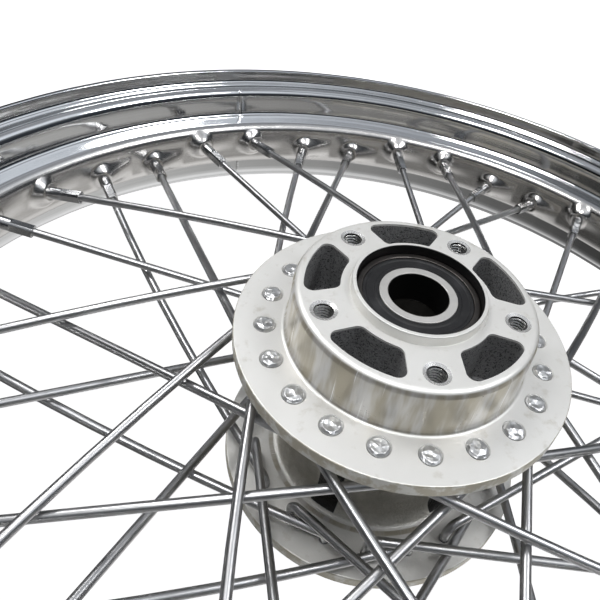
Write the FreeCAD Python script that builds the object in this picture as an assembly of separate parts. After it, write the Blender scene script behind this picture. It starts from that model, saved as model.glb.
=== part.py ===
"""Laced motorcycle wheel: a 19 inch drop-centre steel rim on a cast two-flange disc-brake hub.

Millimetres, +Z up.  The wheel turns about +Y.  The origin is where that axis meets the middle
plane of the rim.  The disc face that is looked at most points along -Y.  Angles are measured
from +Z towards -X, which is anticlockwise for somebody looking at that face.
"""
import FreeCAD
import Part
import math
import os

from FreeCAD import Vector

AXIS = Vector(0, 1, 0)
ORIGIN = Vector(0, 0, 0)

# ---- hub casting ----
FACE_H = 63.725              # middle plane to each disc face
COLLAR_H = FACE_H + 4.2      # the bearing collar stands proud of the disc face
COLLAR_R = 27.95             # centres the brake disc
DRUM_R = 50.8                # wall behind the disc face, a little wider at its foot
DRUM_FOOT_R = 51.4
BARREL_R = 44.0              # waist between the flanges
CORE_R = 32.0                # cored inside of the waist
CORE_H = 29.0
FLANGE_R = 72.6
FLANGE_OUT_H = 41.275        # outer flange faces are 82.55 apart
FLANGE_T = 6.2
BOLT_PCD = 82.55             # five tapped holes for the brake disc
BOLT_COUNT = 5
BOLT_R = {-1: 3.97, 1: 4.763}  # 5/16 in screws at the disc end, 3/8 in at the far end
BOLT_DEPTH = 20.0
MOUTH_R = 5.65               # shallow countersink of a bolt hole, where it meets the face
MOUTH_DEPTH = 0.48
POCKET_OUT_R = 46.6
POCKET_IN_R = 32.0
POCKET_DEPTH = 25.7
POCKET_CORNER = 3.7

# ---- bearings, 25 x 52 x 15 sealed ----
BRG_BORE_R = 12.5
BRG_OUT_R = 26.0
BRG_W = 15.0
SHOULDER_R = 23.0            # hub step that stops the outer race
BALL_R = 3.969
BALL_PITCH_R = 19.25
BALL_COUNT = 9
RACE_GROOVE_R = BALL_R + 0.06
INNER_LAND_R = 17.0
OUTER_LAND_R = 21.6
SEAL_IN_R = 16.36
SEAL_OUT_R = 23.1
SEAL_T = 1.2
SEAL_INSET = 0.5
CAGE_IN_R, CAGE_OUT_R, CAGE_HALF_W = 18.2, 20.4, 4.6
SLEEVE_OUT_R, SLEEVE_IN_R = 15.6, 12.9

# ---- spokes and nipples ----
SPOKE_R = 2.05
HOLE_PCR = 59.83             # radius of the spoke-hole circle in each flange
HOLE_R = 2.3
SWEEP = 72.0                 # angle from a spoke's flange hole to its nipple
SHORT_ELBOW, LONG_ELBOW = 4.35, 10.4   # spoke axis off the inner flange face
BEND_R = {SHORT_ELBOW: 3.9, LONG_ELBOW: 5.5}
BOW_DEG = 3.4                # the short-elbow spokes bow round their neighbours
NIPPLE_STRAIGHT = 23.0
NIPPLE_R = 3.5
NIPPLE_FLATS = 5.9
NIPPLE_END = 18.5            # inner end, measured along the spoke from the dimple tip
NIPPLE_BORE_R = 2.12

# ---- rim, 2.50 x 19 ----
RIM_R = 256.3
SEAT_R = 242.3               # tyre bead seat
WELL_R = 226.0               # hub-side face of the well floor
TIP_R = 222.4                # tips of the nipple dimples
SHEET = 2.2
RIM_HALF_W = 42.2
FLANGE_IN_Y = 31.75          # 63.5 between the flanges
NIPPLE_ROW_Y = 3.0
VALVE_R = 4.25
VALVE_DEG = 4.5


def polar(radius, deg, y):
    a = math.radians(deg)
    return Vector(-radius * math.sin(a), y, radius * math.cos(a))


def unit(v):
    return v * (1.0 / v.Length)


def turned(shape, deg):
    """Copy of a shape carried round the wheel axis by deg."""
    out = shape.copy()
    out.rotate(ORIGIN, AXIS, -deg)
    return out


def ring_of(shape, count, step=None):
    step = step or 360.0 / count
    return [turned(shape, step * i) for i in range(count)]


def rounded_face(points):
    """Face in the XY plane from (radius, y, corner radius) points."""
    n = len(points)
    pts = [Vector(p[0], p[1], 0) for p in points]
    ends = []
    for i, p in enumerate(pts):
        a = unit(pts[i - 1] - p)
        b = unit(pts[(i + 1) % n] - p)
        rad = points[i][2]
        if rad <= 0:
            ends.append((p, None, p))
            continue
        half = 0.5 * math.acos(max(-1.0, min(1.0, a.dot(b))))
        back = rad / math.tan(half)
        mid = p + unit(a + b) * (rad / math.sin(half) - rad)
        ends.append((p + a * back, mid, p + b * back))
    edges = []
    for i, (start, mid, stop) in enumerate(ends):
        if mid is not None:
            edges.append(Part.Arc(start, mid, stop).toShape())
        nxt = ends[(i + 1) % n][0]
        if (nxt - stop).Length > 1e-6:
            edges.append(Part.makeLine(stop, nxt))
    return Part.Face(Part.Wire(edges))


def lathe(points):
    return rounded_face(points).revolve(ORIGIN, AXIS, 360)


def tube(r_in, r_out, y0, y1):
    body = Part.makeCylinder(r_out, y1 - y0, Vector(0, y0, 0), AXIS)
    return body.cut(Part.makeCylinder(r_in, y1 - y0 + 2, Vector(0, y0 - 1, 0), AXIS))


def sides():
    """The two ends of the hub: name, and the sense of Y that points outwards."""
    return (("disc", -1), ("far", 1))


# ------------------------------------------------------------------ hub
def make_hub():
    inner_face = FLANGE_OUT_H - FLANGE_T
    half = [
        (CORE_R, CORE_H, 4.0), (SHOULDER_R, CORE_H, 0), (SHOULDER_R, FACE_H - BRG_W, 0),
        (BRG_OUT_R, FACE_H - BRG_W, 0), (BRG_OUT_R, COLLAR_H, 0.5), (COLLAR_R, COLLAR_H, 0.5),
        (COLLAR_R, FACE_H - 0.5, 0.2), (COLLAR_R + 1.0, FACE_H - 0.5, 0.2), (COLLAR_R + 1.0, FACE_H, 0.1),
        (DRUM_R, FACE_H, 3.0), (DRUM_FOOT_R, FLANGE_OUT_H, 2.0),
        (FLANGE_R, FLANGE_OUT_H, 0.6), (FLANGE_R, inner_face, 0.6), (BARREL_R, inner_face, 6.0),
    ]
    hub = lathe(half + [(r, -h, c) for r, h, c in reversed(half)])

    cuts = []
    for _, side in sides():
        out = Vector(0, side, 0)
        face_y = side * FACE_H
        # the far end is turned by half a step, so its holes stand behind the pockets of this one
        first = 0.0 if side < 0 else 36.0
        eye = polar(BOLT_PCD / 2, first, face_y)
        radius = BOLT_R[side]
        hole = Part.makeCylinder(radius, BOLT_DEPTH + 1, eye + out, -out)
        # the cone starts half its depth outside the face, on the same slope
        mouth = Part.makeCone(1.5 * MOUTH_R - 0.5 * radius, radius, 1.5 * MOUTH_DEPTH,
                              eye + out * (0.5 * MOUTH_DEPTH), -out)
        cuts += ring_of(hole.fuse(mouth), BOLT_COUNT)
        cuts += ring_of(turned(make_pocket(side), first + 36.0), BOLT_COUNT)
        flange_y = side * FLANGE_OUT_H
        first = 0.0 if side < 0 else 9.0
        eye = polar(HOLE_PCR, first, flange_y)
        bore = Part.makeCylinder(HOLE_R, FLANGE_T + 2, eye + out, -out)
        sink = Part.makeCone(4.8 + 0.75, HOLE_R, 4.3, eye + out, -out)
        cuts += ring_of(bore.fuse(sink), 20)
    return hub.cut(cuts)


def make_pocket(side):
    """Cast pocket between two disc bolts, its middle on +Z, open at the disc face."""
    y0 = side * (FACE_H - POCKET_DEPTH)
    y1 = side * (FACE_H + 1.0)
    y0, y1 = min(y0, y1), max(y0, y1)
    ring = tube(POCKET_IN_R, POCKET_OUT_R, y0, y1)
    corners = [Vector(-x, y0, z) for x, z in ((1.8, 20.0), (22.5, 50.0), (-22.5, 50.0), (-1.8, 20.0))]
    wedge = Part.Face(Part.makePolygon(corners + corners[:1])).extrude(Vector(0, y1 - y0, 0))
    block = ring.common(wedge)
    upright = [e for e in block.Edges if len(e.Vertexes) == 2
               and abs((e.Vertexes[0].Point - e.Vertexes[1].Point).y) > 0.9 * (y1 - y0)]
    return block.makeFillet(POCKET_CORNER, upright)


# ------------------------------------------------------------------ spokes
def spoke_sets():
    """name, hub side, first flange-hole angle, sense of the sweep, elbow height."""
    return (
        ("disc_fwd", -1, 18.0, 1, SHORT_ELBOW),
        ("disc_back", -1, 0.0, -1, LONG_ELBOW),
        ("far_fwd", 1, 27.0, 1, LONG_ELBOW),
        ("far_back", 1, 9.0, -1, SHORT_ELBOW),
    )


def spoke_line(side, hole_deg, sense, elbow):
    """Elbow corner, nipple seat, start of the straight end and the spoke's direction there."""
    corner = polar(HOLE_PCR, hole_deg, side * (FLANGE_OUT_H - FLANGE_T - elbow))
    seat = polar(TIP_R, hole_deg + sense * SWEEP, -sense * NIPPLE_ROW_Y)
    chord = unit(seat - corner)
    if elbow != SHORT_ELBOW:
        return corner, seat, None, chord
    away = polar(1.0, hole_deg, 0)
    away = unit(away - chord * away.dot(chord))
    b = math.radians(BOW_DEG)
    end_dir = chord * math.cos(b) - away * math.sin(b)
    return corner, seat, seat - end_dir * NIPPLE_STRAIGHT, end_dir


def make_spoke(side, hole_deg, sense, elbow):
    corner, seat, knee, end_dir = spoke_line(side, hole_deg, sense, elbow)
    tip = seat + end_dir * 4.0
    out = Vector(0, side, 0)
    if knee is None:
        start_dir = end_dir
    else:
        chord = unit(knee - corner)
        start_dir = unit(chord * (2 * chord.dot(end_dir)) - end_dir)
    # elbow arc between the axial shank and the run to the rim
    half = 0.5 * math.acos(out.dot(start_dir))
    bend = BEND_R[elbow]
    back = bend / math.tan(half)
    p0 = corner + out * back
    p1 = corner + start_dir * back
    mid = corner + unit(out + start_dir) * (bend / math.sin(half) - bend)
    head_y = corner + out * (elbow + FLANGE_T - 0.5)
    edges = [Part.makeLine(head_y, p0), Part.Arc(p0, mid, p1).toShape()]
    if knee is None:
        edges.append(Part.makeLine(p1, tip))
    else:
        run = knee - p1
        side_step = unit(start_dir - unit(run) * start_dir.dot(unit(run)))
        lean = math.acos(max(-1.0, min(1.0, unit(run).dot(end_dir))))
        top = p1 + run * 0.5 + side_step * (0.5 * run.Length * math.tan(lean / 2))
        edges.append(Part.Arc(p1, top, knee).toShape())
        edges.append(Part.makeLine(knee, tip))
    path = Part.Wire(edges)
    section = Part.Wire([Part.makeCircle(SPOKE_R, head_y, out)])
    shank = path.makePipeShell([section], True, False)
    # countersunk head, slightly domed, its rim just below the flange face
    profile = [(0.0, -3.2, 0), (SPOKE_R, -3.2, 0), (4.25, -0.55, 0.15), (4.25, -0.1, 0.25),
               (3.3, 0.75, 0.8), (0.0, 0.9, 0)]
    if side < 0:
        profile = [(r, -h, c) for r, h, c in profile]
    head = rounded_face(profile).revolve(ORIGIN, AXIS, 360)
    head.translate(polar(HOLE_PCR, hole_deg, side * FLANGE_OUT_H))
    return shank.fuse(head).removeSplitter()


def make_nipple(side, hole_deg, sense, elbow):
    _, seat, _, end_dir = spoke_line(side, hole_deg, sense, elbow)
    inward = -end_dir
    place = FreeCAD.Placement(seat, FreeCAD.Rotation(Vector(0, 0, 1), inward))
    head = Part.makeCone(5.9, 4.45, 5.4, Vector(0, 0, -7.7))
    barrel = Part.makeCylinder(NIPPLE_R, NIPPLE_END + 2.3, Vector(0, 0, -2.3))
    grip = NIPPLE_END - 7.0
    square = Part.makeBox(NIPPLE_FLATS, NIPPLE_FLATS, grip,
                          Vector(-NIPPLE_FLATS / 2, -NIPPLE_FLATS / 2, 7.0))
    sleeve = Part.makeCylinder(2 * NIPPLE_R, grip, Vector(0, 0, 7.0)).cut(square)
    slot = Part.makeBox(14.0, 1.4, 1.3, Vector(-7.0, -0.7, -7.8))
    bore = Part.makeCylinder(NIPPLE_BORE_R, NIPPLE_END + 10, Vector(0, 0, -9))
    lead = Part.makeCone(NIPPLE_BORE_R, NIPPLE_BORE_R + 0.5, 0.5, Vector(0, 0, NIPPLE_END - 0.5))
    body = head.fuse(barrel).cut([sleeve, slot, bore, lead])
    body.Placement = place
    return body


# ------------------------------------------------------------------ rim
def make_rim():
    half = [
        # face towards the hub
        (WELL_R, 13.6, 6.5), (SEAT_R - SHEET, 16.4, 3.0), (SEAT_R - SHEET, FLANGE_IN_Y + SHEET, 5.5),
        (RIM_R - 3.9, FLANGE_IN_Y + SHEET, 2.5), (RIM_R - 3.4, RIM_HALF_W, 1.2), (RIM_R, RIM_HALF_W, 1.7),
        # face towards the tyre
        (RIM_R, FLANGE_IN_Y, 4.5), (SEAT_R, FLANGE_IN_Y, 3.2), (SEAT_R, 14.2, 3.5), (WELL_R + SHEET, 11.3, 4.5),
    ]
    rim = lathe(half + [(r, -y, c) for r, y, c in reversed(half)])

    inside = Part.makeCylinder(WELL_R + SHEET - 0.3, 4 * RIM_HALF_W, Vector(0, -2 * RIM_HALF_W, 0), AXIS)
    bosses, cuts = [], []
    for _, side, first, sense, elbow in spoke_sets():
        _, seat, _, end_dir = spoke_line(side, first, sense, elbow)
        boss = Part.makeCone(9.0, 4.9, 7.0, seat + end_dir * 7.0, -end_dir).common(inside)
        dimple = Part.makeCone(7.3, 4.55, 6.6, seat + end_dir * (6.6 + SHEET), -end_dir)
        hole = Part.makeCylinder(NIPPLE_R + 0.12, 8.0, seat + end_dir * 6.0, -end_dir)
        bosses += ring_of(boss, 10)
        cuts += ring_of(dimple.fuse(hole), 10)
    cuts.append(Part.makeCylinder(VALVE_R, 20.0, polar(WELL_R - 8, VALVE_DEG, 0), polar(1, VALVE_DEG, 0)))
    return rim.fuse(bosses).cut(cuts)


# ------------------------------------------------------------------ bearings
def make_bearing(name, side):
    """The pieces of one sealed ball bearing, keyed by node name."""
    mid = side * (FACE_H - BRG_W / 2)
    half = BRG_W / 2
    step = half - SEAL_INSET - SEAL_T
    groove = Part.makeTorus(BALL_PITCH_R, RACE_GROOVE_R, Vector(0, mid, 0), AXIS)

    def race(r_back, r_land, r_seal, edge):
        side_pts = [(r_back, half, edge), (r_seal, half, 0.3), (r_seal, step, 0), (r_land, step, 0.2)]
        pts = [(r, mid + h, c) for r, h, c in side_pts]
        pts += [(r, mid - h, c) for r, h, c in reversed(side_pts)]
        return lathe(pts).cut(groove)

    def seal(sign):
        y_out = mid + sign * (half - SEAL_INSET)
        y_in = y_out - sign * SEAL_T
        lip = 0.35 * sign
        pts = [(SEAL_IN_R, y_in, 0), (SEAL_OUT_R - 0.04, y_in, 0), (SEAL_OUT_R - 0.04, y_out, 0.2),
               (21.9, y_out, 0.3), (21.4, y_out - lip, 0.3), (18.4, y_out - lip, 0.3),
               (17.8, y_out, 0.3), (SEAL_IN_R, y_out, 0.2)]
        return lathe(pts)

    ball = Part.makeSphere(BALL_R, polar(BALL_PITCH_R, 0, mid))
    cage = tube(CAGE_IN_R, CAGE_OUT_R, mid - CAGE_HALF_W, mid + CAGE_HALF_W)
    window = Part.makeCylinder(BALL_R + 0.07, 8.0, polar(BALL_PITCH_R - 4, 0, mid), Vector(0, 0, 1))
    cage = cage.cut(ring_of(window, BALL_COUNT))
    return {
        "bearing_outer_race_" + name: race(BRG_OUT_R, OUTER_LAND_R, SEAL_OUT_R, 0.9),
        "bearing_inner_race_" + name: race(BRG_BORE_R, INNER_LAND_R, SEAL_IN_R - 0.06, 0.7),
        "bearing_cage_" + name: cage,
        "bearing_balls_" + name: Part.makeCompound(ring_of(ball, BALL_COUNT)),
        "bearing_seal_outer_" + name: seal(side),
        "bearing_seal_inner_" + name: seal(-side),
    }


def main():
    nodes = {"hub_body": make_hub(), "rim": make_rim()}
    for name, side, first, sense, elbow in spoke_sets():
        nodes["spokes_" + name] = Part.makeCompound(ring_of(make_spoke(side, first, sense, elbow), 10))
        nodes["nipples_" + name] = Part.makeCompound(ring_of(make_nipple(side, first, sense, elbow), 10))
    for name, side in sides():
        nodes.update(make_bearing(name, side))
    inner_end = FACE_H - BRG_W
    nodes["spacer_sleeve"] = tube(SLEEVE_IN_R, SLEEVE_OUT_R, -inner_end, inner_end)

    os.makedirs("parts", exist_ok=True)
    for name, shape in sorted(nodes.items()):
        shape.exportStep("parts/%s.step" % name)
        box = shape.BoundBox
        print("%-28s solids %2d valid %s  X %.1f..%.1f Y %.1f..%.1f Z %.1f..%.1f vol %.1f cm3" % (
            name, len(shape.Solids), shape.isValid(), box.XMin, box.XMax, box.YMin, box.YMax,
            box.ZMin, box.ZMax, shape.Volume / 1000.0))


main()
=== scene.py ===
"""Laced motorcycle wheel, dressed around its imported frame.  Metres, Z up, the axle along Y."""
import math

import bpy
import numpy as np
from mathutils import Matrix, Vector


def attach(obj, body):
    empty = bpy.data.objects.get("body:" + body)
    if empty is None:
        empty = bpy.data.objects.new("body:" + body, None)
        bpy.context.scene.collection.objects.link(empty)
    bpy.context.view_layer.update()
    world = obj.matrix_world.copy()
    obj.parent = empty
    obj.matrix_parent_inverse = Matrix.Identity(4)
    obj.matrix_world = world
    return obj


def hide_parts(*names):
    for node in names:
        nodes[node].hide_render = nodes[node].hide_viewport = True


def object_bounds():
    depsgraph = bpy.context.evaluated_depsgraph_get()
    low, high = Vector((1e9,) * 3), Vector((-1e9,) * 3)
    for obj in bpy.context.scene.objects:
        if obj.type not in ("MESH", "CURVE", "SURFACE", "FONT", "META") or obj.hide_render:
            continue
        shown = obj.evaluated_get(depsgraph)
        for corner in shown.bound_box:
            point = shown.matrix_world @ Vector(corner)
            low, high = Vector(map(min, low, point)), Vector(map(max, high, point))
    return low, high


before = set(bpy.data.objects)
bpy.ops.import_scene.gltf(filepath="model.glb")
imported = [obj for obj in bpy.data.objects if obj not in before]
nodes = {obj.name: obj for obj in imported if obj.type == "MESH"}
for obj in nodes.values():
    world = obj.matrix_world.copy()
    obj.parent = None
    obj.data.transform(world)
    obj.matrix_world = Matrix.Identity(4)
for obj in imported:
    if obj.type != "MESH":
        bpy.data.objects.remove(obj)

cad_box = [list(p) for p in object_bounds()]
MM = 0.001

# ---- sizes of the frame, in millimetres ----
FACE_H = 63.725
FLANGE_OUT_H = 41.275
FLANGE_T = 6.2
DRUM_R = 50.8
FLANGE_R = 72.6
BEARING_R = 26.0
BORE_R = 12.5
BOLT_CIRCLE_R = 41.275
BOLT_R = {-1: 3.97, 1: 4.763}
THREAD_PITCH = 1.411
THREAD_DEEP = 0.5
MOUTH_DEPTH = 0.48
HOLE_PCR = 59.83
SWEEP = 72.0
BOW_DEG = 3.4
WELL_R = 226.0
TIP_R = 222.4
SEAT_R = 242.3
RIM_R = 256.3
SHEET = 2.2
RIM_HALF_W = 42.2
FLANGE_IN_Y = 31.75
NIPPLE_ROW_Y = 3.0
DIMPLE_FOOT = 9.6            # radius where a dimple leaves the well floor
DIMPLE_TOP = 4.6             # radius of its nipple seat
WELD_DEG = 199.6             # where the rim's ends are butt welded
FLOOR_GLOW = 0.9


def polar(radius, deg, y):
    """Angles run from +Z towards -X, anticlockwise for somebody looking along +Y."""
    a = math.radians(deg)
    return np.array([-radius * math.sin(a), y, radius * math.cos(a)])


def unit(v):
    return v / np.linalg.norm(v)


# ------------------------------------------------------------------ materials
class Finish:
    """A Principled material with short calls for the nodes that feed it."""

    def __init__(self, name, **fixed):
        self.material = bpy.data.materials.new(name)
        self.material.use_nodes = True
        self.tree = self.material.node_tree
        self.shader = self.tree.nodes["Principled BSDF"]
        for socket, value in fixed.items():
            self.shader.inputs[socket.replace("_", " ")].default_value = value
        self.place = self.node("ShaderNodeTexCoord").outputs["Object"]
        self.xyz = self.node("ShaderNodeSeparateXYZ", self.place)
        x, _, z = self.xyz.outputs
        self.y = self.xyz.outputs["Y"]
        across, up = self.math("MULTIPLY", x, x), self.math("MULTIPLY", z, z)
        self.radius = self.math("SQRT", self.math("ADD", across, up))
        self.turn = self.math("ARCTAN2", self.math("MULTIPLY", x, -1.0), z)

    def node(self, kind, *links, **settings):
        made = self.tree.nodes.new(kind)
        for key, value in settings.items():
            setattr(made, key, value)
        for socket, value in zip(made.inputs, links):
            self.put(socket, value)
        return made

    def put(self, socket, value):
        if isinstance(value, bpy.types.NodeSocket):
            self.tree.links.new(value, socket)
        elif value is not None:
            socket.default_value = value

    def math(self, operation, a, b=None, c=None):
        return self.node("ShaderNodeMath", a, b, c, operation=operation).outputs[0]

    def noise(self, scale, detail=2.0, rough=0.5, at=None, kind="FBM"):
        made = self.node("ShaderNodeTexNoise", noise_type=kind)
        self.put(made.inputs["Vector"], at or self.place)
        made.inputs["Scale"].default_value = scale
        made.inputs["Detail"].default_value = detail
        made.inputs["Roughness"].default_value = rough
        return made.outputs["Fac"]

    def cells(self, scale, at=None, feature="F1"):
        made = self.node("ShaderNodeTexVoronoi", feature=feature)
        self.put(made.inputs["Vector"], at or self.place)
        made.inputs["Scale"].default_value = scale
        return made.outputs["Distance"]

    def lathe_space(self, across, around):
        """Coordinates stretched round the wheel axis, for turned and polished marks and painted reflection
        streaks.
        """
        made = self.node("ShaderNodeCombineXYZ", self.math("MULTIPLY", self.radius, across),
                         self.math("MULTIPLY", self.turn, around), self.math("MULTIPLY", self.y, across))
        return made.outputs[0]

    def ramp(self, fac, *stops):
        made = self.node("ShaderNodeValToRGB", fac)
        line = made.color_ramp.elements
        while len(line) < len(stops):
            line.new(0.5)
        for element, (at, colour) in zip(line, stops):
            element.position = at
            element.color = (*colour, 1.0) if isinstance(colour, tuple) else (colour, colour, colour, 1.0)
        return made.outputs["Color"]

    def mix(self, fac, a, b):
        made = self.node("ShaderNodeMix", data_type="RGBA")
        self.put(made.inputs["Factor"], fac)
        self.put(made.inputs["A"], (*a, 1.0) if isinstance(a, tuple) else a)
        self.put(made.inputs["B"], (*b, 1.0) if isinstance(b, tuple) else b)
        return made.outputs["Result"]

    def step(self, value, low, high):
        """0 below low, 1 above high, smooth between."""
        made = self.node("ShaderNodeMapRange", value, interpolation_type="SMOOTHSTEP")
        made.inputs["From Min"].default_value = low
        made.inputs["From Max"].default_value = high
        return made.outputs["Result"]

    def step_mm(self, value, low, high):
        """step with its limits in millimetres."""
        return self.step(value, low * MM, high * MM)

    def both(self, *masks):
        out = masks[0]
        for m in masks[1:]:
            out = self.math("MULTIPLY", out, m)
        return out

    def bump(self, height, distance, under=None, strength=1.0):
        made = self.node("ShaderNodeBump")
        made.inputs["Strength"].default_value = strength
        made.inputs["Distance"].default_value = distance
        self.put(made.inputs["Height"], height)
        self.put(made.inputs["Normal"], under)
        return made.outputs["Normal"]

    def colour(self, value):
        self.put(self.shader.inputs["Base Color"], value)

    def rough(self, value):
        self.put(self.shader.inputs["Roughness"], value)

    def normal(self, value):
        self.put(self.shader.inputs["Normal"], value)


def hub_aluminium():
    """Machined faces, a satin drum with painted reflection streaks, rough cast pockets and waist, and
    painted shade on the waist, in the bearing recess and down the bolt holes.
    """
    f = Finish("hub_aluminium")
    from_mid = f.math("ABSOLUTE", f.y)
    below_face = f.step_mm(from_mid, FACE_H - 0.6, FACE_H - 1.2)
    fifths = f.math("MULTIPLY", f.turn, 2.5)
    far_end = f.math("GREATER_THAN", f.y, 0.0)
    fifth = f.math("ABSOLUTE", f.math("SINE", f.math("MULTIPLY_ADD", far_end, math.pi / 2, fifths)))
    inside_edge = f.step_mm(f.radius, 47.8, 47.2)
    pocket = f.both(below_face, inside_edge, f.step(fifth, 0.36, 0.42), f.step_mm(f.radius, 31.2, 31.8))
    bolts = f.both(inside_edge, f.step(fifth, 0.34, 0.31), f.step_mm(f.radius, 34.0, 34.6))
    mouth = f.both(bolts, f.step_mm(from_mid, FACE_H - 0.02, FACE_H - 0.08))
    # painted shade: the bolt-hole walls below the mouth are coloured near black for the shade down the
    # holes
    bolt_hole_shade = f.both(bolts, f.step_mm(from_mid, FACE_H - MOUTH_DEPTH, FACE_H - MOUTH_DEPTH - 0.17))
    waist = f.both(f.step_mm(from_mid, FLANGE_OUT_H - FLANGE_T + 0.2, FLANGE_OUT_H - FLANGE_T - 0.6),
                   f.step_mm(f.radius, 40, 42))
    # painted shade: the hub's wall round the bearing recess is coloured near black for the shade in the
    # recess
    recess_shade = f.both(f.step_mm(f.radius, BEARING_R + 0.45, BEARING_R + 0.25),
                    f.step_mm(from_mid, FACE_H - 16, FACE_H - 15))
    drum = f.both(below_face, f.step_mm(f.radius, DRUM_R - 1.2, DRUM_R - 0.5),
                  f.step_mm(f.radius, DRUM_R + 1.7, DRUM_R + 1.0))
    flange_edge = f.step_mm(f.radius, FLANGE_R - 0.5, FLANGE_R - 0.2)
    cast = f.math("MAXIMUM", pocket, waist)

    turned = f.noise(1.0, 3.0, 0.6, at=f.lathe_space(9000.0, 5.0))
    cloud = f.noise(38.0, 4.0, 0.6)
    fine = f.noise(900.0, 3.0, 0.6)
    blotch = f.noise(160.0, 3.0, 0.65)
    machined = f.mix(cloud, (0.80, 0.79, 0.755), (0.91, 0.905, 0.885))
    machined = f.mix(f.step(blotch, 0.56, 0.8), machined, (0.70, 0.68, 0.63))
    # painted reflections: broad warm-tan and grey bands and thin bright lines along the drum stand in for
    # the studio reflected in the polished drum
    reflection_bands = f.noise(1.0, 3.0, 0.6, at=f.lathe_space(25.0, 7.0))
    glint_lines = f.noise(1.0, 2.0, 0.6, at=f.lathe_space(14.0, 42.0))
    drum_reflection_colour = f.mix(f.step(reflection_bands, 0.38, 0.64), (0.50, 0.46, 0.37), (0.74, 0.73, 0.71))
    drum_reflection_colour = f.mix(f.step(glint_lines, 0.66, 0.72), drum_reflection_colour, (0.95, 0.95, 0.94))
    edge_colour = f.mix(f.step(blotch, 0.42, 0.62), (0.62, 0.58, 0.48), (0.86, 0.85, 0.80))
    grit = f.cells(700.0)
    speckle = f.step(f.noise(1300.0, 3.0, 0.7), 0.36, 0.50)
    cast_colour = f.mix(speckle, (0.06, 0.06, 0.06), f.mix(cloud, (0.26, 0.26, 0.263), (0.42, 0.42, 0.425)))
    # painted shade: the cast waist between the flanges is coloured dark warm brown for the shade there,
    # mottled paler as painted reflection on the shiny cast
    waist_shade_colour = f.mix(f.noise(60.0, 5.0, 0.7), (0.24, 0.22, 0.18), (0.72, 0.70, 0.64))
    colour = f.mix(flange_edge, f.mix(drum, machined, drum_reflection_colour), edge_colour)
    colour = f.mix(waist, f.mix(pocket, colour, cast_colour), waist_shade_colour)
    colour = f.mix(mouth, colour, (0.84, 0.835, 0.82))
    colour = f.mix(bolt_hole_shade, colour, (0.03, 0.029, 0.027))
    f.colour(f.mix(recess_shade, colour, (0.012, 0.012, 0.013)))
    satin = f.math("MULTIPLY_ADD", fine, 0.14, f.math("MULTIPLY_ADD", cloud, 0.12, 0.31))
    satin = f.math("SUBTRACT", satin, f.math("MULTIPLY_ADD", drum, 0.13, f.math("MULTIPLY", mouth, 0.18)))
    f.put(f.shader.inputs["Metallic"], f.math("MULTIPLY_ADD", mouth, 0.15, 0.6))
    f.rough(f.mix(cast, satin, f.mix(pocket, (0.36, 0.36, 0.36), (0.62, 0.62, 0.62))))
    under = f.bump(f.math("MULTIPLY", turned, f.math("SUBTRACT", 1.0, cast)), 0.00002)
    under = f.bump(f.noise(26.0, 2.0), 0.0009, under, 0.30)
    gritty = f.math("ADD", f.math("MULTIPLY", grit, 0.6), f.noise(900.0, 4.0, 0.7))
    f.normal(f.bump(f.math("MULTIPLY", gritty, cast), 0.0003, under))
    return f.material


def rim_chrome():
    """Bright plated steel with polishing marks, a darker and warmer well and the butt weld across the
    section.
    """
    f = Finish("rim_chrome", Metallic=1.0)
    cloud = f.noise(30.0, 4.0, 0.6)
    in_well = f.step_mm(f.radius, WELL_R + 6, WELL_R + 2)
    smear = f.noise(1.0, 4.0, 0.65, at=f.lathe_space(260.0, 14.0))
    bright = f.mix(cloud, (0.80, 0.805, 0.81), (0.90, 0.90, 0.90))
    # the well is coloured darker and warmer than the bright plating, streaked round the axis
    well_tone = f.mix(smear, (0.62, 0.60, 0.575), (0.86, 0.845, 0.83))
    f.colour(f.mix(in_well, bright, well_tone))
    polish = f.math("MULTIPLY_ADD", smear, 0.08, 0.03)
    f.rough(f.math("ADD", polish, f.math("MULTIPLY", in_well, f.math("MULTIPLY_ADD", cloud, 0.12, 0.12))))
    rings = f.noise(1.0, 2.0, 0.5, at=f.lathe_space(2600.0, 3.0))
    under = f.bump(rings, 0.000012)
    weld = f.math("ABSOLUTE", f.math("SUBTRACT", f.turn, math.radians(WELD_DEG - 360.0)))
    ledge = f.both(f.step_mm(f.radius, SEAT_R - SHEET - 3.0, SEAT_R - SHEET - 1.0),
                   f.step_mm(f.radius, SEAT_R + 1.5, SEAT_R - 0.5))
    seam = f.both(f.step(weld, 0.0050, 0.0012), ledge)
    rippled = f.math("MULTIPLY", seam, f.math("ADD", 0.6, f.noise(420.0, 3.0)))
    f.normal(f.bump(f.noise(14.0, 2.0), 0.0006, f.bump(rippled, 0.0003, under), 0.10))
    return f.material


def drawn_steel(name, dark, light, rough):
    """Plated wire and nipples: a mottled plating, paler and crinkled on the upset heads."""
    f = Finish(name)
    mottle = f.noise(110.0, 3.0, 0.6)
    from_mid = f.math("ABSOLUTE", f.y)
    head = f.both(f.step_mm(from_mid, FLANGE_OUT_H - 0.9, FLANGE_OUT_H - 0.3),
                  f.step_mm(f.radius, 68, 66))
    f.colour(f.mix(head, f.mix(mottle, dark, light), (0.76, 0.765, 0.77)))
    f.rough(f.math("MULTIPLY_ADD", f.noise(400.0, 3.0, 0.6), 0.08, rough))
    f.put(f.shader.inputs["Metallic"], f.math("MULTIPLY_ADD", head, -0.16, 1.0))
    crinkle = f.math("ADD", f.cells(330.0), f.math("MULTIPLY", f.noise(520.0, 2.0), 0.4))
    skin = f.bump(f.noise(300.0, 3.0, 0.6), 0.00002, strength=0.6)
    f.normal(f.bump(f.math("MULTIPLY", crinkle, head), 0.0011, skin, 0.7))
    return f.material


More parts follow.
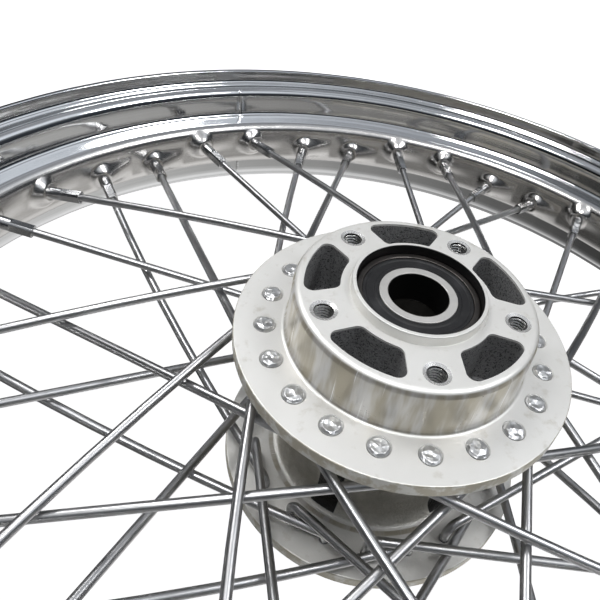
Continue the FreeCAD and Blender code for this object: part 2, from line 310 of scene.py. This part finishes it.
def ground_steel(name, dark, light, rough, metallic=1.0, bore_r=0.0):
    """Hardened rings and sleeve: ground round the axis, faintly stained, and painted black inside bore_r as
    shade down the bore.
    """
    f = Finish(name, Metallic=metallic)
    ground = f.noise(1.0, 3.0, 0.6, at=f.lathe_space(12000.0, 4.0))
    stain = f.noise(150.0, 4.0, 0.65)
    # painted shade: the wall inside bore_r is coloured black for the shade down the bore
    bore_shade = f.step_mm(f.radius, bore_r + 0.5, bore_r + 0.1)
    f.colour(f.mix(bore_shade, f.mix(stain, dark, light), (0.012, 0.012, 0.012)))
    f.rough(f.math("MULTIPLY_ADD", ground, 0.14, f.math("MULTIPLY_ADD", stain, 0.10, rough)))
    f.normal(f.bump(ground, 0.00002))
    return f.material


def seal_rubber():
    """Moulded black rubber with a fine grain and faint mould rings."""
    f = Finish("seal_rubber", Specular_IOR_Level=0.5)
    grain = f.noise(1500.0, 4.0, 0.7)
    dust = f.noise(90.0, 4.0, 0.6)
    f.colour(f.mix(f.step(dust, 0.45, 0.8), (0.008, 0.008, 0.009), (0.022, 0.022, 0.024)))
    f.rough(f.math("MULTIPLY_ADD", grain, 0.25, 0.42))
    rings = f.noise(1.0, 1.0, at=f.lathe_space(2200.0, 1.0))
    f.normal(f.bump(grain, 0.00005, f.bump(rings, 0.00008)))
    return f.material


def cage_steel():
    """Pressed steel ball cage, lightly stained."""
    f = Finish("cage_steel", Metallic=1.0)
    stain = f.noise(300.0, 4.0, 0.6)
    f.colour(f.mix(stain, (0.42, 0.40, 0.36), (0.62, 0.60, 0.56)))
    f.rough(f.math("MULTIPLY_ADD", stain, 0.2, 0.3))
    f.normal(f.bump(f.noise(1200.0, 3.0), 0.00003))
    return f.material


def pale_floor():
    """Plain studio floor that glows a little, so that it stays pale under the wheel."""
    f = Finish("pale_floor", Roughness=0.6)
    f.colour(f.mix(f.noise(3.0, 3.0), (0.90, 0.90, 0.90), (0.94, 0.94, 0.94)))
    f.put(f.shader.inputs["Emission Color"], (1.0, 1.0, 1.0, 1.0))
    f.shader.inputs["Emission Strength"].default_value = FLOOR_GLOW
    return f.material


# ------------------------------------------------------------------ shapes
def new_piece(name, points, faces, material, body, smooth=True):
    mesh = bpy.data.meshes.new(name)
    mesh.from_pydata((np.asarray(points) * MM).tolist(), [], faces)
    mesh.polygons.foreach_set("use_smooth", [smooth] * len(mesh.polygons))
    mesh.update()
    piece = bpy.data.objects.new(name, mesh)
    bpy.context.scene.collection.objects.link(piece)
    mesh.materials.append(material)
    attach(piece, body)
    return piece


def rounded_line(corners, gap, arc_steps=7):
    """Closed (radius, y) outline with its corners rounded and its runs divided every gap millimetres."""
    pts = [np.array(c[:2]) for c in corners]
    n = len(pts)
    out = []
    for i, p in enumerate(pts):
        a, b = unit(pts[i - 1] - p), unit(pts[(i + 1) % n] - p)
        rad = corners[i][2]
        half = 0.5 * math.acos(max(-1.0, min(1.0, float(a @ b))))
        back = rad / math.tan(half)
        mid = p + unit(a + b) * (rad / math.sin(half))
        u, v = p + a * back - mid, p + b * back - mid
        whole = math.acos(max(-1.0, min(1.0, float(u @ v) / rad ** 2)))
        for k in range(arc_steps + 1):
            t = k / arc_steps
            q = (u * math.sin((1 - t) * whole) + v * math.sin(t * whole)) / math.sin(whole)
            out.append(mid + q)
    line = []
    for i, p in enumerate(out):
        q = out[(i + 1) % len(out)]
        length = float(np.linalg.norm(q - p))
        mean_y = abs(p[1] + q[1]) / 2
        cuts = max(1, math.ceil(length / (gap if mean_y < 22 else 4 * gap)))
        line += [p + (q - p) * (k / cuts) for k in range(cuts)]
    return np.array(line)


def rim_outline():
    floor, ledge, lip = WELL_R, SEAT_R - SHEET, RIM_R - 3.4
    half = [
        (floor, 13.6, 6.5), (ledge, 16.4, 3.0), (ledge, FLANGE_IN_Y + SHEET, 5.5),
        (lip - 0.5, FLANGE_IN_Y + SHEET, 2.5), (lip, RIM_HALF_W, 1.2), (RIM_R, RIM_HALF_W, 1.7),
        (RIM_R, FLANGE_IN_Y, 4.5), (SEAT_R, FLANGE_IN_Y, 3.2), (SEAT_R, 14.2, 3.5),
        (floor + SHEET, 11.3, 4.5),
    ]
    return half + [(r, -y, c) for r, y, c in reversed(half)]


def lacing():
    """Name, nipple angle, dimple tip and the spoke's direction there, for one of each ten."""
    rows = []
    for name, side, hole, sense, elbow in (
            ("disc_fwd", -1, 18.0, 1, 4.35), ("disc_back", -1, 0.0, -1, 10.4),
            ("far_fwd", 1, 27.0, 1, 10.4), ("far_back", 1, 9.0, -1, 4.35)):
        corner = polar(HOLE_PCR, hole, side * (FLANGE_OUT_H - FLANGE_T - elbow))
        angle = hole + sense * SWEEP
        seat = polar(TIP_R, angle, -sense * NIPPLE_ROW_Y)
        run = unit(seat - corner)
        if elbow < 5:
            away = polar(1.0, hole, 0.0)
            away = unit(away - run * (away @ run))
            b = math.radians(BOW_DEG)
            run = run * math.cos(b) - away * math.sin(b)
        rows.append((name, angle, seat, run))
    return rows


def spin(v, deg):
    """Turns points round the wheel axis in the sense that angles grow."""
    a = math.radians(deg)
    c, s = math.cos(a), math.sin(a)
    x, y, z = v[..., 0], v[..., 1], v[..., 2]
    return np.stack([c * x - s * z, y, s * x + c * z], -1)


def make_rim(material):
    """Rolled section swept round the axis, with a pressed dimple under each nipple."""
    line = rounded_line(rim_outline(), 0.62)
    near = np.concatenate([np.linspace(-1.62, 1.62, 25), [2.0, 2.4, 2.9, 3.5, 4.1]])
    steps = []
    for k in range(40):
        steps += [9.0 * k + a for a in near]
    steps = np.sort(np.array(steps) % 360.0)
    rows, cols = len(steps), len(line)
    a = np.radians(steps)[:, None]
    r, y = line[None, :, 0], line[None, :, 1]
    base = np.stack([-r * np.sin(a), y + 0 * a, r * np.cos(a)], -1)
    shift = np.zeros_like(base)
    weight = np.zeros(base.shape[:2])
    for name, angle, seat, run in lacing():
        for k in range(10):
            here = (angle + 36.0 * k) % 360.0
            turn = here - angle
            s, n = spin(seat, turn), spin(-run, turn)
            pick = np.abs((steps - here + 180.0) % 360.0 - 180.0) < 4.6
            q = base[pick] - s
            along = q @ n
            off = np.linalg.norm(q - along[..., None] * n, axis=-1)
            close = np.clip((DIMPLE_FOOT - off) / (DIMPLE_FOOT - DIMPLE_TOP), 0, 1)
            w = close * close * (3 - 2 * close)
            w = np.where(np.abs(along) < 12, w, 0)
            tyre_side = (r[0] > WELL_R + 1.2) & (np.abs(y[0]) < 12)
            lift = np.where(tyre_side[None, :], -SHEET - along, -along)
            move = (w * np.clip(lift, 0, None))[..., None] * n
            better = w > weight[pick]
            block = shift[pick]
            block[better] = move[better]
            shift[pick] = block
            weight[pick] = np.maximum(weight[pick], w)
    points = (base + shift).reshape(-1, 3)
    faces = []
    for i in range(rows):
        j = (i + 1) % rows
        for c in range(cols):
            d = (c + 1) % cols
            faces.append((i * cols + c, j * cols + c, j * cols + d, i * cols + d))
    rim = new_piece("rolled_rim", points, faces, material, "wheel")
    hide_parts("rim")
    return rim


def make_threads(material):
    """Helical lands inside the ten disc bolt holes."""
    top, deep, segs = FACE_H - 1.0, FACE_H - 18.0, 30
    turns = (top - deep) / THREAD_PITCH
    count = int(turns * segs)
    points, faces = [], []
    for side in (-1, 1):
        for hole in range(5):
            centre = polar(BOLT_CIRCLE_R, 72.0 * hole + (36.0 if side > 0 else 0.0), 0.0)
            first = len(points)
            for k in range(count + 1):
                a = 2 * math.pi * k / segs
                h = top - THREAD_PITCH * k / segs
                root, crest = BOLT_R[side] - 0.02, BOLT_R[side] - THREAD_DEEP
                for rad, dh in ((root, 0.46), (crest, 0.08), (crest, -0.08), (root, -0.46)):
                    points.append((centre[0] + rad * math.cos(a), side * (h + dh),
                                   centre[2] + rad * math.sin(a)))
            for k in range(count):
                p = first + 4 * k
                for c in range(3):
                    quad = (p + c, p + c + 1, p + c + 5, p + c + 4)
                    faces.append(quad if side < 0 else quad[::-1])
    return new_piece("disc_bolt_threads", points, faces, material, "wheel")


def paint(name, material):
    """Gives a CAD node one material in every slot."""
    slots = nodes[name].material_slots
    if not slots:
        nodes[name].data.materials.append(material)
    for s in slots:
        s.material = material


# ------------------------------------------------------------------ studio
def area_light(name, place, aim, width, height, power):
    lamp = bpy.data.lights.new(name, "AREA")
    lamp.shape, lamp.size, lamp.size_y, lamp.energy = "RECTANGLE", width, height, power
    thing = bpy.data.objects.new(name, lamp)
    thing.location = place
    thing.rotation_euler = (Vector(aim) - Vector(place)).to_track_quat("-Z", "Y").to_euler()
    bpy.context.scene.collection.objects.link(thing)


def studio_world():
    """Soft surroundings: bright in front of the disc side, dark round the sides, paler behind."""
    world = bpy.data.worlds.new("studio")
    world.use_nodes = True
    tree = world.node_tree
    links = tree.links

    def node(kind, *values, **settings):
        made = tree.nodes.new(kind)
        for key, value in settings.items():
            setattr(made, key, value)
        for socket, value in zip(made.inputs, values):
            if isinstance(value, bpy.types.NodeSocket):
                links.new(value, socket)
            elif value is not None:
                socket.default_value = value
        return made

    def math_node(operation, *values):
        return node("ShaderNodeMath", *values, operation=operation).outputs[0]

    x, y, z = node("ShaderNodeSeparateXYZ", node("ShaderNodeTexCoord").outputs["Generated"]).outputs
    height = math_node("MULTIPLY_ADD", y, -0.5, 0.5)
    ramp = node("ShaderNodeValToRGB", height)
    line = ramp.color_ramp.elements
    while len(line) < len(WORLD_STOPS):
        line.new(0.5)
    for element, (at, colour) in zip(line, WORLD_STOPS):
        element.position, element.color = at, (*colour, 1.0)
    # lamps and beams overhead, seen in the plating as thin streaks
    place = node("ShaderNodeCombineXYZ", math_node("MULTIPLY", y, 15.0), math_node("MULTIPLY", x, 1.3),
                 math_node("MULTIPLY", z, 1.3)).outputs[0]
    streaks = node("ShaderNodeTexNoise", place)
    streaks.inputs["Scale"].default_value, streaks.inputs["Detail"].default_value = 1.0, 4.0
    beam = node("ShaderNodeMapRange", streaks.outputs["Fac"], 0.40, 0.62, 0.45, 1.35).outputs[0]
    beam = node("ShaderNodeMapRange", height, 0.70, 0.80, 1.0, beam).outputs[0]
    glow = math_node("MULTIPLY_ADD", x, -0.80, math_node("MULTIPLY_ADD", z, 0.10, 0.74))
    lit = node("ShaderNodeVectorMath", ramp.outputs["Color"], operation="SCALE")
    links.new(math_node("MULTIPLY", beam, glow), lit.inputs["Scale"])
    back = tree.nodes["Background"]
    links.new(lit.outputs[0], back.inputs["Color"])
    plain = node("ShaderNodeBackground", (1.0, 1.0, 1.0, 1.0))
    blend = node("ShaderNodeMixShader", node("ShaderNodeLightPath").outputs["Is Camera Ray"],
                 back.outputs[0], plain.outputs[0])
    links.new(blend.outputs[0], tree.nodes["World Output"].inputs["Surface"])
    bpy.context.scene.world = world


def make_floor():
    low = cad_box[0][2]
    mesh = bpy.data.meshes.new("studio_floor")
    mesh.from_pydata([(-6, -6, low), (6, -6, low), (6, 6, low), (-6, 6, low)], [], [(0, 1, 2, 3)])
    floor = bpy.data.objects.new("studio_floor", mesh)
    mesh.materials.append(pale_floor())
    bpy.context.scene.collection.objects.link(floor)
    floor.visible_glossy = False
    floor.visible_shadow = False


def make_camera():
    data = bpy.data.cameras.new("camera")
    data.sensor_width, data.lens = 36.0, 37.039
    data.shift_x, data.shift_y = -0.11049, -0.02767
    data.clip_start, data.clip_end = 0.01, 40.0
    camera = bpy.data.objects.new("camera", data)
    camera.location = (0.06933, -0.22406, 0.17850)
    camera.rotation_euler = [math.radians(a) for a in (-42.2192, -5.5324, -169.3923)]
    bpy.context.scene.collection.objects.link(camera)
    bpy.context.scene.camera = camera


# brightness of the surroundings from straight behind the wheel (0) to straight in front of it (1)
WORLD_STOPS = ((0.0, (0.80, 0.80, 0.80)), (0.15, (0.60, 0.60, 0.60)), (0.24, (0.30, 0.30, 0.295)),
               (0.30, (0.19, 0.187, 0.182)), (0.36, (0.06, 0.06, 0.06)), (0.42, (0.018, 0.019, 0.021)),
               (0.71, (0.020, 0.023, 0.028)), (0.79, (0.07, 0.077, 0.086)), (0.86, (0.43, 0.46, 0.50)),
               (0.93, (0.56, 0.59, 0.64)), (1.0, (0.48, 0.51, 0.55)))

make_camera()
make_floor()
studio_world()
area_light("key", (0.25, -1.45, 0.35), (0, 0, 0), 0.35, 0.35, 6.4)
area_light("left", (-0.75, -1.2, 0.15), (0, 0, 0), 0.35, 0.35, 4.5)
area_light("right", (0.6, -1.25, -0.55), (0, 0, 0), 0.4, 0.4, 5.5)
bpy.context.scene.view_settings.view_transform = "Standard"

aluminium = hub_aluminium()
chrome = rim_chrome()
race_steel = {
    "outer_race": ground_steel("outer_race_steel", (0.10, 0.092, 0.085), (0.26, 0.235, 0.22), 0.30),
    "inner_race": ground_steel("inner_race_steel", (0.50, 0.49, 0.47), (0.72, 0.71, 0.69), 0.26,
                               metallic=0.55, bore_r=BORE_R),
}
sleeve_steel = ground_steel("sleeve_steel", (0.22, 0.21, 0.20), (0.40, 0.39, 0.37), 0.32)
ball_steel = ground_steel("ball_steel", (0.70, 0.70, 0.70), (0.80, 0.80, 0.80), 0.05)
spoke_steel = drawn_steel("spoke_steel", (0.46, 0.46, 0.465), (0.68, 0.68, 0.685), 0.30)
nipple_plating = drawn_steel("nipple_plating", (0.56, 0.56, 0.565), (0.78, 0.78, 0.78), 0.17)
rubber = seal_rubber()
cage = cage_steel()

paint("hub_body", aluminium)
paint("spacer_sleeve", sleeve_steel)
for part in ("disc_fwd", "disc_back", "far_fwd", "far_back"):
    paint("spokes_" + part, spoke_steel)
    paint("nipples_" + part, nipple_plating)
for end in ("disc", "far"):
    for ring in race_steel:
        paint("bearing_%s_%s" % (ring, end), race_steel[ring])
    paint("bearing_cage_" + end, cage)
    paint("bearing_balls_" + end, ball_steel)
    for place in ("outer", "inner"):
        paint("bearing_seal_%s_%s" % (place, end), rubber)

make_rim(chrome)
make_threads(ground_steel("cut_thread", (0.70, 0.69, 0.67), (0.90, 0.89, 0.88), 0.16))

bpy.context.view_layer.update()
